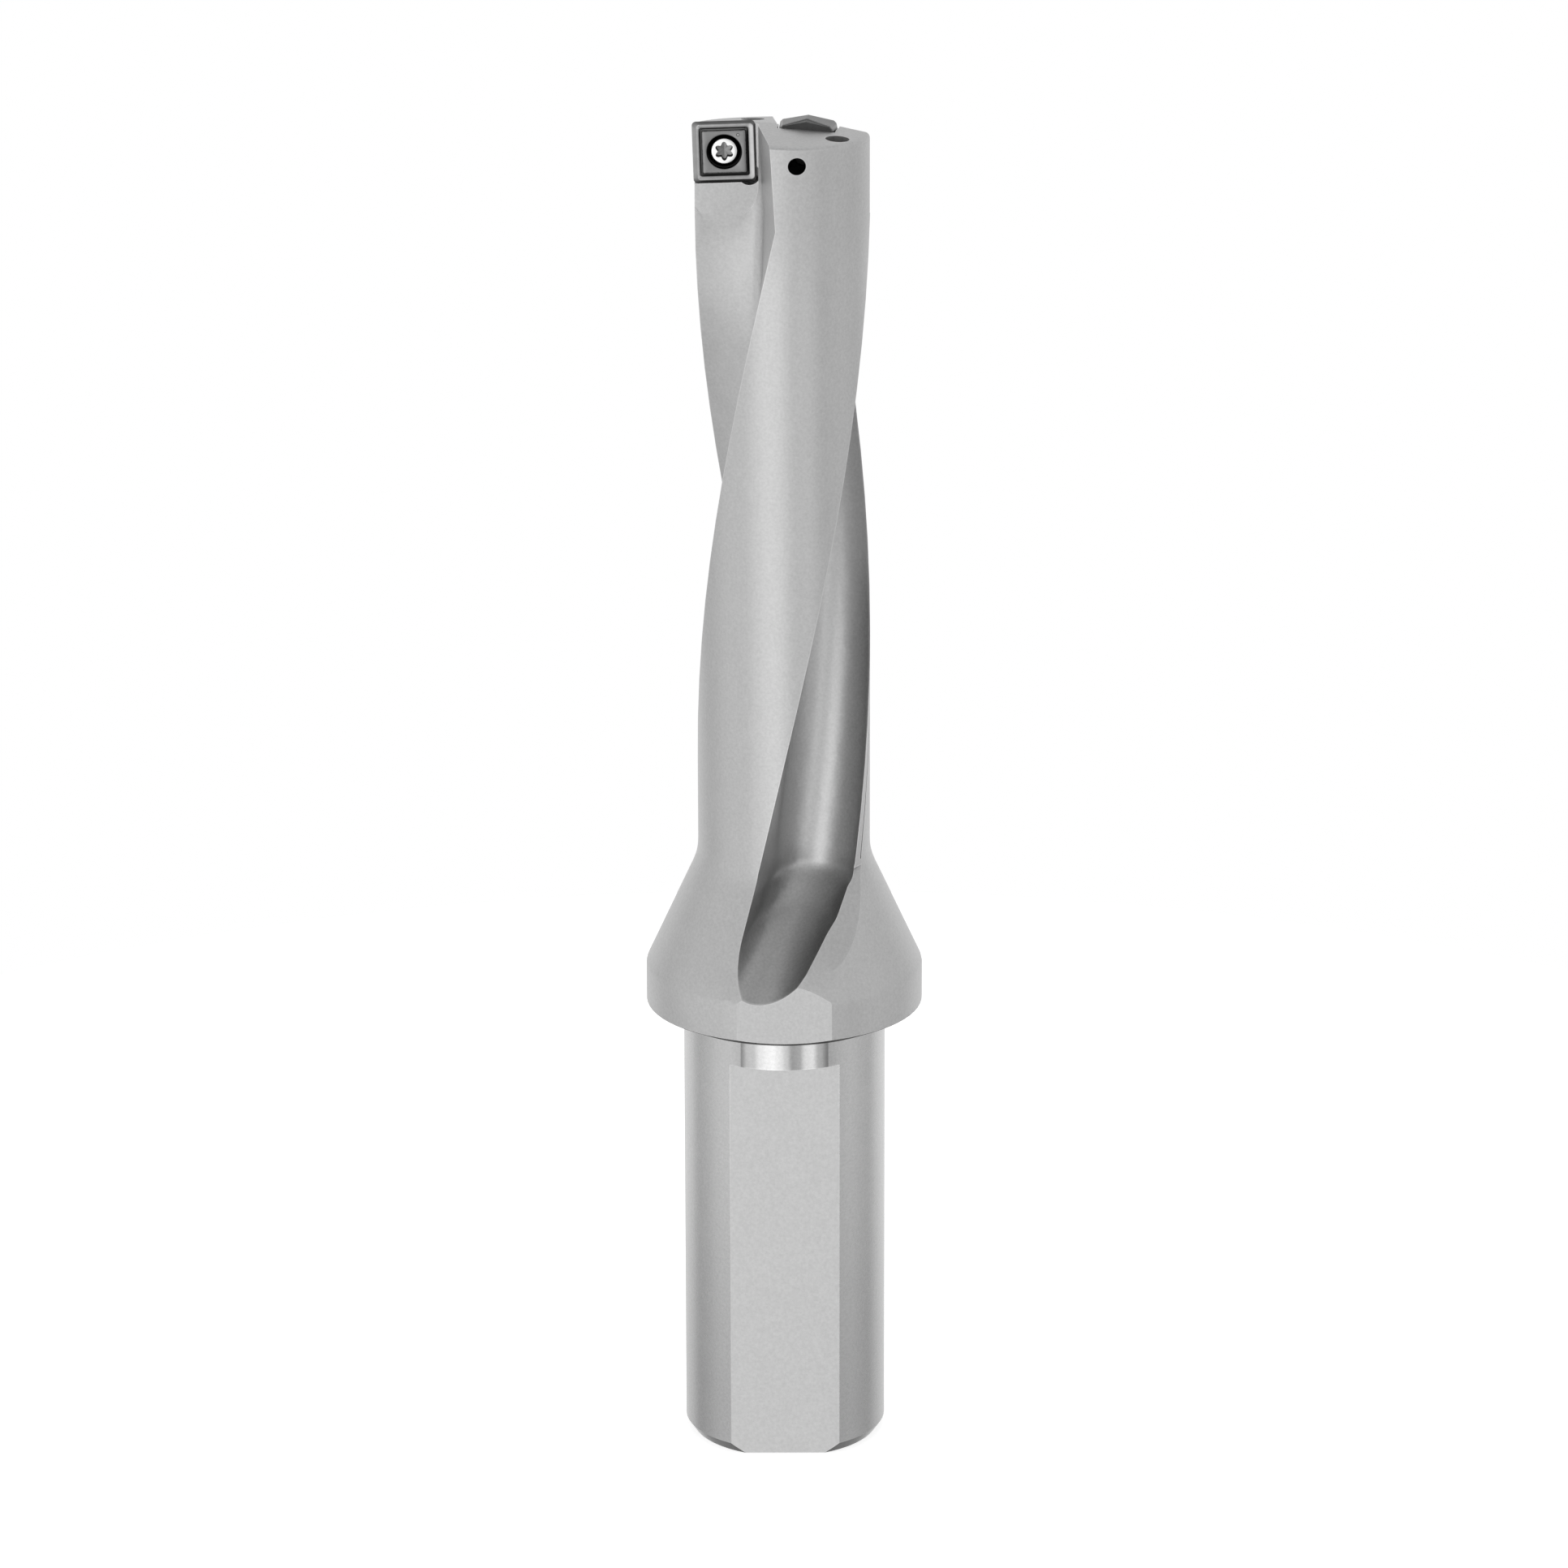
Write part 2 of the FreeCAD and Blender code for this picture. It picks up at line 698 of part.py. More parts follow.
def clearingTool():
    """Round-ended clearing cut in the rake plane under the outer insert."""
    depth = reach + clearingDepth
    start = Vector(clearingCentreX, clearingDepth, clearingCentreZ)
    disc = cylinder(clearingRadius, start, Vector(0, -1, 0), depth)
    slot = Part.makeBox(2 * clearingRadius, depth, topLimit - clearingCentreZ,
                        Vector(clearingCentreX - clearingRadius, clearingDepth - depth, clearingCentreZ))
    return disc.fuse(slot)


def headTools():
    outer = outerFrame()
    inner = innerFrame()
    return [
        clearingTool(),
        placed(outerPocketTool(), outer),
        placed(screwHoleTool(outerInsertThickness), outer),
        placed(innerPocketTool(), inner),
        placed(screwHoleTool(innerInsertThickness), inner),
    ]


# Coolant: a bore in the shank, two channels that turn with the lands and two outlets
def coolantBore():
    radius = coolantBoreDiameter / 2
    bore = cylinder(radius, Vector(0, 0, 0), Vector(0, 0, 1), coolantBoreDepth)
    mouth = Part.makeCone(radius + coolantBoreChamfer, radius, coolantBoreChamfer)
    return bore.fuse(mouth)


def coolantChannel(x, y, outletX, outletY):
    """One channel from the bore's end up to x, y below the head and on to its outlet in the top face."""
    radius = coolantChannelDiameter / 2
    section = Part.Wire([Part.Circle(Vector(x, y, 0), Vector(0, 0, 1), radius).toShape()])
    twisted = helicalSweep(section, coolantTurnHeight, straightHeight)
    distance = math.hypot(x, y)
    foot = polar(distance, azimuthOf(x, y) + turnAt(coolantTurnHeight), coolantTurnHeight)
    boreEnd = Vector(0, 0, coolantBoreDepth - coolantBoreDiameter / 2)
    feed = cylinder(radius, boreEnd, foot - boreEnd, (foot - boreEnd).Length)
    knee = Part.makeSphere(radius + coolantKneeGap, foot)
    mouth = Vector(x, y, straightHeight)
    rise = (Vector(outletX, outletY, bodyTipHeight) - mouth).normalize()
    start = mouth - rise * coolantOutletOverlap
    outlet = cylinder(coolantOutletDiameter / 2, start, rise, headStraightLength + reach)
    return [knee, outlet, twisted, feed]


def coolantTools():
    front = coolantChannel(frontChannelX, frontChannelY, frontOutletX, frontOutletY)
    back = coolantChannel(backChannelX, backChannelY, backChannelX, backChannelY)
    return [coolantBore()] + front + back


def drillBody():
    body = turnedBlank()
    tools = [shankFlatTool(), flangeFlatTool(), tipFaceTool(), tipClearanceTool()]
    tools += fluteTools() + headTools() + coolantTools()
    for tool in tools:
        body = body.cut(tool)
    return body


def main():
    os.makedirs("parts", exist_ok=True)
    shapes = {
        "drill_body": drillBody(),
        "outer_insert": placed(outerInsert(), outerFrame()),
        "inner_insert": placed(innerInsert(), innerFrame()),
        "outer_insert_screw": placed(insertScrew(), outerFrame()),
        "inner_insert_screw": placed(insertScrew(), innerFrame()),
    }
    for name, shape in shapes.items():
        solids = shape.Solids
        solid = max(solids, key=lambda piece: piece.Volume)
        print(name, "valid", shape.isValid(), "solids", len(solids), "volume", round(solid.Volume, 2))
        solid.exportStep("parts/" + name + ".step")


main()
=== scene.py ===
import math

import bmesh
import bpy
import numpy as np
from mathutils import Matrix, Vector


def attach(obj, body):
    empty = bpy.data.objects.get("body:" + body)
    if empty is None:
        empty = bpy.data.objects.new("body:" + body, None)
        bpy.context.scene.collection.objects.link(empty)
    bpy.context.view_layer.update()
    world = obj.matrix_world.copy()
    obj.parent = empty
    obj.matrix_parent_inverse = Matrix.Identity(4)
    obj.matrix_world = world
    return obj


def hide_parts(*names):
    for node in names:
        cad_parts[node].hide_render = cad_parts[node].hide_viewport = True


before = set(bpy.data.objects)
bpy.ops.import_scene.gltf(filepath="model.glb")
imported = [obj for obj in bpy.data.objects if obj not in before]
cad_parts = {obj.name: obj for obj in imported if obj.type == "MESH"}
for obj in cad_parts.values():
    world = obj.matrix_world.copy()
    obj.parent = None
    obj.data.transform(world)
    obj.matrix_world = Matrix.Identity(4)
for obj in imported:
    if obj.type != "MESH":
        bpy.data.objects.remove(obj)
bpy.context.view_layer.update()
millimetre = 0.001
print("frame loaded:", ", ".join(sorted(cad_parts)))


# Camera: the photograph's view, looking down at the drill from the front
cameraView = {
    "place": (0.0000142, -0.948115, 0.408071),
    "tilt": 71.19,
    "roll": -0.126,
    "lens": 186.55,
    "sensor": 36.0,
    "shiftY": -0.0005,
    "nearest": 0.05,
}


def makeCamera(values):
    data = bpy.data.cameras.new("photoCamera")
    data.lens = values["lens"]
    data.sensor_width = values["sensor"]
    data.shift_y = values["shiftY"]
    data.clip_start = values["nearest"]
    camera = bpy.data.objects.new("photoCamera", data)
    bpy.context.scene.collection.objects.link(camera)
    turn = Matrix.Rotation(math.radians(values["tilt"]), 4, "X")
    roll = Matrix.Rotation(math.radians(values["roll"]), 4, "Z")
    camera.matrix_world = Matrix.Translation(values["place"]) @ turn @ roll
    bpy.context.scene.camera = camera


makeCamera(cameraView)
print("camera placed")


# Node helpers: a value may be a number, a vector or another node's output
def feed(tree, socket, value):
    if isinstance(value, bpy.types.NodeSocket):
        tree.links.new(value, socket)
    else:
        socket.default_value = value


def calc(tree, operation, *values):
    node = tree.nodes.new("ShaderNodeMath")
    node.operation = operation
    for index, value in enumerate(values):
        feed(tree, node.inputs[index], value)
    return node.outputs[0]


def product(tree, *factors):
    result = factors[0]
    for factor in factors[1:]:
        result = calc(tree, "MULTIPLY", result, factor)
    return result


# Base plus a noise's distance from its middle, times an amount
def vary(tree, noiseValue, amount, base):
    return calc(tree, "MULTIPLY_ADD", calc(tree, "SUBTRACT", noiseValue, 0.5), amount, base)


def vectorNode(tree, operation, *vectors):
    node = tree.nodes.new("ShaderNodeVectorMath")
    node.operation = operation
    for index, vector in enumerate(vectors):
        feed(tree, node.inputs[index], vector)
    return node.outputs


def vectorCalc(tree, operation, *vectors):
    return vectorNode(tree, operation, *vectors)["Vector"]


# Number from vectors: a length, a distance or a dot product
def vectorValue(tree, operation, *vectors):
    return vectorNode(tree, operation, *vectors)["Value"]


def separate(tree, vector):
    node = tree.nodes.new("ShaderNodeSeparateXYZ")
    feed(tree, node.inputs[0], vector)
    return node.outputs


def noise(tree, vector, scale, detail, rough):
    node = tree.nodes.new("ShaderNodeTexNoise")
    feed(tree, node.inputs["Vector"], vector)
    node.inputs["Scale"].default_value = scale
    node.inputs["Detail"].default_value = detail
    node.inputs["Roughness"].default_value = rough
    return node.outputs["Fac"]


# Noise whose scale differs by direction
def stretchedNoise(tree, vector, stretch, detail, rough):
    return noise(tree, vectorCalc(tree, "MULTIPLY", vector, stretch), 1.0, detail, rough)


# Smooth step of a value between two limits, carried over to two results
def blendBetween(tree, value, limits, low, high):
    node = tree.nodes.new("ShaderNodeMapRange")
    node.interpolation_type = "SMOOTHSTEP"
    sockets = ("Value", "From Min", "From Max", "To Min", "To Max")
    for name, number in zip(sockets, (value, *limits, low, high)):
        feed(tree, node.inputs[name], number)
    return node.outputs["Result"]


def rises(tree, value, limits):
    return blendBetween(tree, value, limits, 0.0, 1.0)


def falls(tree, value, limits):
    return blendBetween(tree, value, limits, 1.0, 0.0)


def mix(tree, factor, first, second):
    node = tree.nodes.new("ShaderNodeMix")
    feed(tree, node.inputs[0], factor)
    feed(tree, node.inputs[2], first)
    feed(tree, node.inputs[3], second)
    return node.outputs[0]


def attributeValue(tree, name):
    node = tree.nodes.new("ShaderNodeAttribute")
    node.attribute_name = name
    return node.outputs["Fac"]


def greyColour(tree, value):
    node = tree.nodes.new("ShaderNodeCombineColor")
    for index in range(3):
        feed(tree, node.inputs[index], value)
    return node.outputs[0]


# Grey ramp through (position, brightness) stops
def ramp(tree, value, stops):
    node = tree.nodes.new("ShaderNodeValToRGB")
    feed(tree, node.inputs[0], value)
    band = node.color_ramp
    band.interpolation = "EASE"
    while len(band.elements) < len(stops):
        band.elements.new(0.5)
    for element, (position, grey) in zip(band.elements, stops):
        element.position = position
        element.color = (grey, grey, grey, 1.0)
    return node.outputs["Color"]


def newMaterial(name):
    material = bpy.data.materials.new(name)
    material.use_nodes = True
    return material, material.node_tree, material.node_tree.nodes["Principled BSDF"]


def objectPlace(tree):
    return tree.nodes.new("ShaderNodeTexCoord").outputs["Object"]


def surfaceNormal(tree):
    return tree.nodes.new("ShaderNodeNewGeometry").outputs["Normal"]


# Metal finish: grey and roughness from nodes, and the bump of a height
def finishMetal(tree, shader, grey, rough, height, values):
    node = tree.nodes.new("ShaderNodeBump")
    feed(tree, node.inputs["Height"], height)
    node.inputs["Distance"].default_value = values["grainHeight"]
    node.inputs["Strength"].default_value = values["grainStrength"]
    feed(tree, shader.inputs["Base Color"], greyColour(tree, grey))
    feed(tree, shader.inputs["Roughness"], rough)
    feed(tree, shader.inputs["Normal"], node.outputs["Normal"])
    shader.inputs["Metallic"].default_value = 1.0


# Share of edge in a surface: one minus the match of the true normal with the normal of softened edges
def edgeShare(tree, radius, gain):
    soft = tree.nodes.new("ShaderNodeBevel")
    soft.samples = 4
    soft.inputs["Radius"].default_value = radius
    match = vectorValue(tree, "DOT_PRODUCT", soft.outputs[0], surfaceNormal(tree))
    gap = calc(tree, "SUBTRACT", 1.0, match)
    node = tree.nodes.new("ShaderNodeClamp")
    feed(tree, node.inputs[0], calc(tree, "MULTIPLY", gap, gain))
    return node.outputs[0]


# Places of the two inserts in millimetres: local X is the width, Y points up and Z leaves the rake face
def rotation(axis, degrees):
    return np.array(Matrix.Rotation(math.radians(degrees), 3, axis))


outerPlace = {
    "centre": (-7.0, -0.1, 165.25),
    "turn": rotation("X", 90) @ rotation("Z", 1.7),
}
innerPlace = {
    "centre": (3.11, 0.43, 165.66),
    "turn": rotation("Z", 180 - 7.4) @ rotation("X", 90 + 2.2),
}


# Point in the frame: turned into the insert's place, then shifted to its centre
def putInPlace(points, place):
    return (points @ place["turn"].T + np.array(place["centre"])) * millimetre


# Dark inside of the tapped hole that comes out on the head's front: a dark bore with painted shade
holeShade = {"radius": 0.00104, "depth": 0.0024, "sideBlend": 0.00003, "endBlend": 0.0001, "grey": 0.03}


# Share inside the hole: points nearer to the hole's line than its radius, behind the insert's seat
def insideHole(tree, place, seat, values):
    line = Vector(seat["turn"][:, 2].tolist())
    away = vectorCalc(tree, "SUBTRACT", place, Vector(seat["centre"]) * millimetre)
    aside = vectorValue(tree, "LENGTH", vectorCalc(tree, "CROSS_PRODUCT", away, line))
    along = vectorValue(tree, "DOT_PRODUCT", away, line)
    near = falls(tree, aside, (values["radius"], values["radius"] + values["sideBlend"]))
    behind = falls(tree, along, (-values["depth"] - values["endBlend"], -values["depth"]))
    return calc(tree, "MULTIPLY", near, behind)


# Sizes of the body that tell its flutes from its outside
outsideShape = {
    "bodyRadius": 0.0106,
    "flangeRadius": 0.0171,
    "coneBottom": 0.0621,
    "coneSlope": 0.4561,
    "flatY": -0.01608,
    "facetAzimuth": 16.2,
    "facetTilt": 36.5,
    "facetRadius": 0.01217,
    "facetHeight": 0.0700,
    "facetTop": 0.0763,
    "undersideRadius": 0.0145,
    "undersideHeight": 0.0560,
    "undersideSlope": 0.4846,
}


# Depth of a point below the body's outside: the least of its depths below the turned outline, below the
# flange's flat and, up to where the facet ends, below the facet's plane
def depthBelowOutside(tree, place, radius, y, z, values):
    cone = calc(tree, "SUBTRACT", z, values["coneBottom"])
    outline = calc(tree, "MULTIPLY_ADD", cone, -values["coneSlope"], values["flangeRadius"])
    outline = calc(tree, "MINIMUM", values["flangeRadius"], outline)
    outline = calc(tree, "MAXIMUM", values["bodyRadius"], outline)
    azimuth = math.radians(values["facetAzimuth"])
    tilt = math.radians(values["facetTilt"])
    normal = Vector((math.cos(tilt) * math.sin(azimuth), -math.cos(tilt) * math.cos(azimuth), math.sin(tilt)))
    level = values["facetRadius"] * math.cos(tilt) + values["facetHeight"] * math.sin(tilt)
    facet = calc(tree, "SUBTRACT", level, vectorValue(tree, "DOT_PRODUCT", place, normal))
    facet = calc(tree, "ADD", facet, calc(tree, "GREATER_THAN", z, values["facetTop"]))
    flat = calc(tree, "SUBTRACT", y, values["flatY"])
    turnedDepth = calc(tree, "SUBTRACT", outline, radius)
    return calc(tree, "MINIMUM", turnedDepth, calc(tree, "MINIMUM", facet, flat))


# Limits of the body's zones in metres: each zone's share changes smoothly between its two limits
bodyZones = {
    "fluteDepth": (0.00005, 0.0003),
    "fluteBottom": (0.0572, 0.0573),
    "lowerFlute": (0.105, 0.120),
    "runout": (0.0735, 0.0750),
    "head": (0.150, 0.160),
    "shank": (0.0559, 0.0561),
    "flat": (-0.01049, -0.01045),
    "flatRadius": (0.01245, 0.01249),
    "neckWidth": (0.0053, 0.0055),
    "neckBottom": (0.0519, 0.05195),
    "neckFront": (-0.0108, -0.0106),
    # Painted shade: where the neck patch's sides grow darker
    "paintedNeckShade": (0.0046, 0.0054),
    # Painted shade: heights over which the round shank darkens towards the floor
    "paintedLowShade": (0.0, 0.05),
    # Painted shadow: a thin band just under the flange
    "offUnderside": (0.00003, 0.00006),
}


# Share of each zone at a point, and the masks of painted shade that follow the place
def bodyShares(tree, place, zones, shape):
    x, y, z = separate(tree, place)
    sideways = calc(tree, "ABSOLUTE", x)
    radius = calc(tree, "SQRT", calc(tree, "ADD", product(tree, x, x), product(tree, y, y)))
    depth = depthBelowOutside(tree, place, radius, y, z, shape)
    flute = product(tree, rises(tree, depth, zones["fluteDepth"]), rises(tree, z, zones["fluteBottom"]))
    shank = falls(tree, z, zones["shank"])
    flat = product(tree, falls(tree, y, zones["flat"]), shank, falls(tree, radius, zones["flatRadius"]))
    neck = product(tree, falls(tree, sideways, zones["neckWidth"]), shank)
    neck = product(tree, neck, rises(tree, z, zones["neckBottom"]), falls(tree, y, zones["neckFront"]))
    underside = calc(tree, "SUBTRACT", radius, shape["undersideRadius"])
    underside = calc(tree, "MULTIPLY_ADD", underside, shape["undersideSlope"], shape["undersideHeight"])
    offUnderside = calc(tree, "ABSOLUTE", calc(tree, "SUBTRACT", z, underside))
    outward = calc(tree, "GREATER_THAN", radius, shape["undersideRadius"])
    return {
        "flute": flute,
        "lowerFlute": product(tree, flute, falls(tree, z, zones["lowerFlute"])),
        "runout": falls(tree, z, zones["runout"]),
        "head": rises(tree, z, zones["head"]),
        "shank": shank,
        "flat": flat,
        "roundShank": product(tree, shank, calc(tree, "SUBTRACT", 1.0, flat)),
        "neck": neck,
        "neckMiddle": falls(tree, sideways, zones["paintedNeckShade"]),
        "shankHeight": rises(tree, z, zones["paintedLowShade"]),
        # Painted shadow under the flange
        "paintedShadowUnderFlange": product(tree, falls(tree, offUnderside, zones["offUnderside"]), outward),
    }


# Steel of the drill's body: satin plating, ground shank, polished neck patch and smoother flutes.
# Noises are given as scale, detail and roughness.
bodySteelLook = {
    "grey": 0.60,
    "greyChange": 0.06,
    "grainChange": 0.20,
    # Worn edges, brighter, partly a painted edge highlight
    "wearAndSheenGrey": 0.80,
    # Painted shadow: grey of the thin line under the flange
    "underShadowGrey": 0.03,
    "fluteGrey": 0.59,
    # Painted shade: the flute run-out's darker grey
    "runoutShadeGrey": 0.45,
    # Painted shade: flute walls whose normal faces left are darker
    "paintedShadeFacing": (-0.85, -0.15),
    "paintedWallShade": 0.62,
    # Painted shade on the neck patch's sides
    "paintedNeckShade": 0.55,
    # Painted shade: the round shank's grey near the floor
    "paintedLowShade": 0.78,
    "landRoughness": 0.43,
    "fluteRoughness": 0.41,
    "headRoughness": 0.50,
    "shankRoughness": 0.27,
    "flatRoughness": 0.36,
    "neckRoughness": 0.07,
    "roughnessChange": 0.08,
    "mottle": (260.0, 4.0, 0.6),
    "grain": (3000.0, 3.0, 0.6),
    "grinding": ((30.0, 30.0, 5200.0), 2.0, 0.5),
    "milling": ((2600.0, 60.0, 90.0), 2.0, 0.5),
    "lineHeight": 0.5,
    "grainHeight": 0.000004,
    "grainStrength": 0.8,
    "edgeRadius": 0.00022,
    "edgeGain": 6.0,
}


# Grey of the body: the flutes' lower parts are darker, with painted shade on their run-out and left-facing
# walls; worn edges are brighter, partly as a painted edge highlight
def bodyGrey(tree, place, shares, mottle, grain, values):
    # Painted shade on the flute walls that face left
    facing = separate(tree, surfaceNormal(tree))["X"]
    wall = blendBetween(tree, facing, values["paintedShadeFacing"], values["paintedWallShade"], 1.0)
    # Painted shade: the run-out is darker
    fluteGrey = mix(tree, shares["runout"], values["fluteGrey"], values["runoutShadeGrey"])
    base = mix(tree, shares["lowerFlute"], values["grey"], product(tree, fluteGrey, wall))
    grey = vary(tree, grain, values["grainChange"], vary(tree, mottle, values["greyChange"], base))
    # Worn edges are brighter, partly as a painted edge highlight
    grey = mix(tree, edgeShare(tree, values["edgeRadius"], values["edgeGain"]), grey, values["wearAndSheenGrey"])
    # Painted shade on the neck patch's sides
    paintedNeckShade = mix(tree, shares["neckMiddle"], values["paintedNeckShade"], 1.0)
    # Painted shade: the round shank is darker towards the floor
    paintedLowShade = mix(tree, shares["shankHeight"], values["paintedLowShade"], 1.0)
    grey = product(tree, grey, mix(tree, shares["neck"], 1.0, paintedNeckShade))
    grey = product(tree, grey, mix(tree, shares["roundShank"], 1.0, paintedLowShade))
    # Painted shadow: a thin dark line just under the flange
    grey = mix(tree, shares["paintedShadowUnderFlange"], grey, values["underShadowGrey"])
    # Painted shade inside the hole, on a dark bore
    return mix(tree, insideHole(tree, place, innerPlace, holeShade), grey, holeShade["grey"])


def bodyRoughness(tree, shares, mottle, values):
    rough = mix(tree, shares["flute"], values["landRoughness"], values["fluteRoughness"])
    rough = mix(tree, shares["head"], rough, values["headRoughness"])
    rough = mix(tree, shares["shank"], rough, values["shankRoughness"])
    rough = mix(tree, shares["flat"], rough, values["flatRoughness"])
    rough = vary(tree, mottle, values["roughnessChange"], rough)
    return mix(tree, shares["neck"], rough, values["neckRoughness"])


# Height of the bump: grain, but grinding lines round the shank, milling lines on its flat, and a plain neck
def bodyHeight(tree, place, shares, grain, values):
    grinding = stretchedNoise(tree, place, *values["grinding"])
    milling = stretchedNoise(tree, place, *values["milling"])
    lines = mix(tree, shares["flat"], grinding, milling)
    height = mix(tree, shares["shank"], grain, product(tree, lines, values["lineHeight"]))
    return mix(tree, shares["neck"], height, 0.5)


def bodySteel(values):
    material, tree, shader = newMaterial("bodySteel")
    place = objectPlace(tree)
    shares = bodyShares(tree, place, bodyZones, outsideShape)
    mottle = noise(tree, place, *values["mottle"])
    grain = noise(tree, place, *values["grain"])
    grey = bodyGrey(tree, place, shares, mottle, grain, values)
    rough = bodyRoughness(tree, shares, mottle, values)
    finishMetal(tree, shader, grey, rough, bodyHeight(tree, place, shares, grain, values), values)
    return material


# Coated carbide of the inserts: a dark satin coat, paler along its edges as wear and a painted edge
# highlight; its tone attribute carries painted light and shade
carbideLook = {
    "greyChange": 0.45,
    "wearAndSheenGrey": 0.45,
    "wearAndSheenTones": (0.1, 0.3),
    "roughness": 0.30,
    "roughnessChange": 0.14,
    "mottle": (900.0, 4.0, 0.65),
    "grain": (2200.0, 3.0, 0.6),
    "grainHeight": 0.000004,
    "grainStrength": 0.7,
    "edgeRadius": 0.00012,
    "edgeGain": 5.0,
}


# Small round dimple on the outer insert's plateau, in millimetres: where it lies, its radius, its rim's width
# and its tones, a dark rim of painted shade and a paler middle of painted highlight
dimpleLook = {"centre": (1.72, 2.06, -0.02), "radius": 0.17, "rim": 0.07, "paintedRimTone": 0.03, "middleHighlightTone": 0.35}


# Tone with the dimple: its painted shade rim tone where the distance from the centre is near the radius, the
# painted highlight tone inside
def withDimple(tree, place, tone, values):
    centre = Vector(putInPlace(np.array([values["centre"]]), outerPlace)[0].tolist())
    distance = vectorValue(tree, "DISTANCE", place, centre)
    radius = values["radius"] * millimetre
    edge = values["rim"] * millimetre
    inside = falls(tree, distance, (radius - edge, radius))
    onRim = falls(tree, distance, (radius, radius + edge))
    tone = mix(tree, onRim, tone, values["paintedRimTone"])
    return mix(tree, inside, tone, values["middleHighlightTone"])


def coatedCarbide(name, values, dimple=None):
    material, tree, shader = newMaterial(name)
    place = objectPlace(tree)
    mottle = noise(tree, place, *values["mottle"])
    grain = noise(tree, place, *values["grain"])
    tone = attributeValue(tree, "tone")
    if dimple:
        tone = withDimple(tree, place, tone, dimple)
    grey = product(tree, tone, vary(tree, mottle, values["greyChange"], 1.0))
    # Worn edges are paler, partly as a painted edge highlight
    wearAndSheen = edgeShare(tree, values["edgeRadius"], values["edgeGain"])
    grey = mix(tree, product(tree, wearAndSheen, rises(tree, tone, values["wearAndSheenTones"])), grey, values["wearAndSheenGrey"])
    rough = vary(tree, grain, values["roughnessChange"], values["roughness"])
    finishMetal(tree, shader, grey, rough, grain, values)
    return material


# Bright steel of the screws, with a fine grain; its tone attribute carries painted highlight and shade
screwLook = {
    "greyChange": 0.08,
    "roughness": 0.24,
    "roughnessChange": 0.1,
    "grain": (2500.0, 3.0, 0.6),
    "grainHeight": 0.000003,
    "grainStrength": 0.5,
}


def screwSteel(values):
    material, tree, shader = newMaterial("screwSteel")
    grain = noise(tree, objectPlace(tree), *values["grain"])
    grey = product(tree, attributeValue(tree, "tone"), vary(tree, grain, values["greyChange"], 1.0))
    rough = vary(tree, grain, values["roughnessChange"], values["roughness"])
    finishMetal(tree, shader, grey, rough, grain, values)
    return material


bodyMaterial = bodySteel(bodySteelLook)
outerMaterial = coatedCarbide("outerCarbide", carbideLook, dimpleLook)
innerMaterial = coatedCarbide("innerCarbide", carbideLook)
screwMaterial = screwSteel(screwLook)
print("materials made")


# Finished piece: it rides the part, takes the place of one node and fills one material slot
def placePiece(name, mesh, material, node):
    mesh.materials.append(material)
    piece = bpy.data.objects.new(name, mesh)
    bpy.context.scene.collection.objects.link(piece)
    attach(piece, "root")
    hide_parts(node)


# Body: the CAD node's own surface, joined at its points and shaded smooth between its real edges
bodyFinish = {"joinDistance": 0.0000005, "sharpAngle": 13.0}


def smoothBody(values):
    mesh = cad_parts["drill_body"].data.copy()
    mesh.name = "drillBodySurface"
    if mesh.has_custom_normals:
        mesh.attributes.remove(mesh.attributes["custom_normal"])
    work = bmesh.new()
    work.from_mesh(mesh)
    bmesh.ops.remove_doubles(work, verts=work.verts, dist=values["joinDistance"])
    work.to_mesh(mesh)
    work.free()
    mesh.shade_smooth()
    mesh.set_sharp_from_angle(angle=math.radians(values["sharpAngle"]))
    mesh.materials.clear()
    return mesh


placePiece("drillBodySurface", smoothBody(bodyFinish), bodyMaterial, "drill_body")
print("body dressed")


# Surface from a grid of points: neighbouring rings and neighbouring points on a ring make the quads.
# A closed surface joins its last ring to its first one, and a cap joins a ring to one centre point.
def gridMesh(name, grid, joined, caps, sharpAngle):
    rings, around = grid.shape[:2]
    points = grid.reshape(-1, 3)
    here = np.arange(rings * around).reshape(rings, around)
    beside = np.roll(here, -1, axis=1)
    if joined:
        quads = np.stack([here, beside, np.roll(beside, -1, axis=0), np.roll(here, -1, axis=0)], axis=-1)
    else:
        quads = np.stack([here[:-1], beside[:-1], beside[1:], here[1:]], axis=-1)
    faces = quads.reshape(-1, 4).tolist()
    for ring, centre in caps:
        points = np.vstack([points, centre])
        pole = np.full(around, len(points) - 1)
        order = [beside[ring], here[ring], pole] if ring == 0 else [here[ring], beside[ring], pole]
        faces += np.stack(order, axis=-1).tolist()
    mesh = bpy.data.meshes.new(name)
    mesh.from_pydata(points.tolist(), [], faces)
    mesh.shade_smooth()
    mesh.set_sharp_from_angle(angle=math.radians(sharpAngle))
    return mesh


# Angles of a ring's points: equal steps of the full turn, from half a step on
def ringAngles(count):
    return (np.arange(count) + 0.5) * 2 * math.pi / count


# Angle from the middle of the nearest side of a square, from 0 to an eighth of a turn
def foldedAngle(angle):
    return np.abs((angle + math.pi / 4) % (math.pi / 2) - math.pi / 4)


# Rounded square: the distance from the centre at an angle, for a half width and a corner radius.
# A direction meets the straight side, or the corner's arc where it passes the side's end.
def roundedSquare(angle, half, corner):
    large = np.maximum(np.abs(np.cos(angle)), np.abs(np.sin(angle)))
    small = np.minimum(np.abs(np.cos(angle)), np.abs(np.sin(angle)))
    side = half / large
    middle = half - corner
    along = middle * (large + small)
    arc = along + np.sqrt(np.maximum(along ** 2 - 2 * middle ** 2 + corner ** 2, 0.0))
    return np.where(side * small > middle, arc, side)


